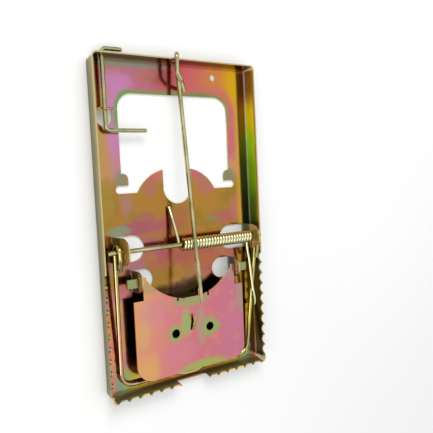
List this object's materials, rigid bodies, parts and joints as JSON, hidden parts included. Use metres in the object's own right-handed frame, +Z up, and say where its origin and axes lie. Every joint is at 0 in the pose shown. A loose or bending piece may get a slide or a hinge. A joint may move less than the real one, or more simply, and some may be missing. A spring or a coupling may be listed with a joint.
{
  "type": "snap mouse trap",
  "caption": "All-metal snap mouse trap: serrated sheet tray, sprung wire kill bar, bait pedal, hold-down wire and safety wire, shown fired.",
  "frame": {"origin": "middle of the tray's flat underside", "axes": "+X to the right and +Y toward the rear wall seen from above, +Z up out of the tray"},
  "size_m": [0.0658, 0.1194, 0.0122],
  "materials": {
    "tray_metal": "bright yellow chromate plating, near mirror, iridescent",
    "pedal_metal": "bright yellow chromate plating, pinkish",
    "wire_metal": "plated drawn wire, smooth",
    "spring_metal": "plated spring wire, bright",
    "safety_metal": "plated drawn wire, grey-green"
  },
  "bodies": {
    "tray": {"base_tray": "tray_metal", "axle": "wire_metal", "torsion_spring": "spring_metal"},
    "kill_bar": {"kill_bar": "wire_metal"},
    "pedal": {"trigger_pedal": "pedal_metal"},
    "hold_wire": {"hold_down_wire": "wire_metal"},
    "safety": {"safety_wire": "safety_metal"}
  },
  "joints": [
    {"name": "kill_bar_hinge", "type": "hinge", "parent": "tray", "child": "kill_bar", "pos_m": [0, -0.0075, 0.0065], "axis": [-1, 0, 0], "range_deg": [0, 180], "stiffness_Nm_per_rad": 0.04, "springref_deg": -68.75, "deforming": ["torsion_spring"]},
    {"name": "pedal_hinge", "type": "hinge", "parent": "tray", "child": "pedal", "pos_m": [0, -0.0189, 0.00525], "axis": [-1, 0, 0], "range_deg": [0, 16]},
    {"name": "hold_wire_hinge", "type": "hinge", "parent": "tray", "child": "hold_wire", "pos_m": [0, 0.05777, 0.00508], "axis": [-1, 0, 0], "range_deg": [0, 100]},
    {"name": "safety_hinge", "type": "hinge", "parent": "tray", "child": "safety", "pos_m": [-0.0282, 0.05, 0.00296], "axis": [0, -1, 0], "range_deg": [0, 100]}
  ]
}
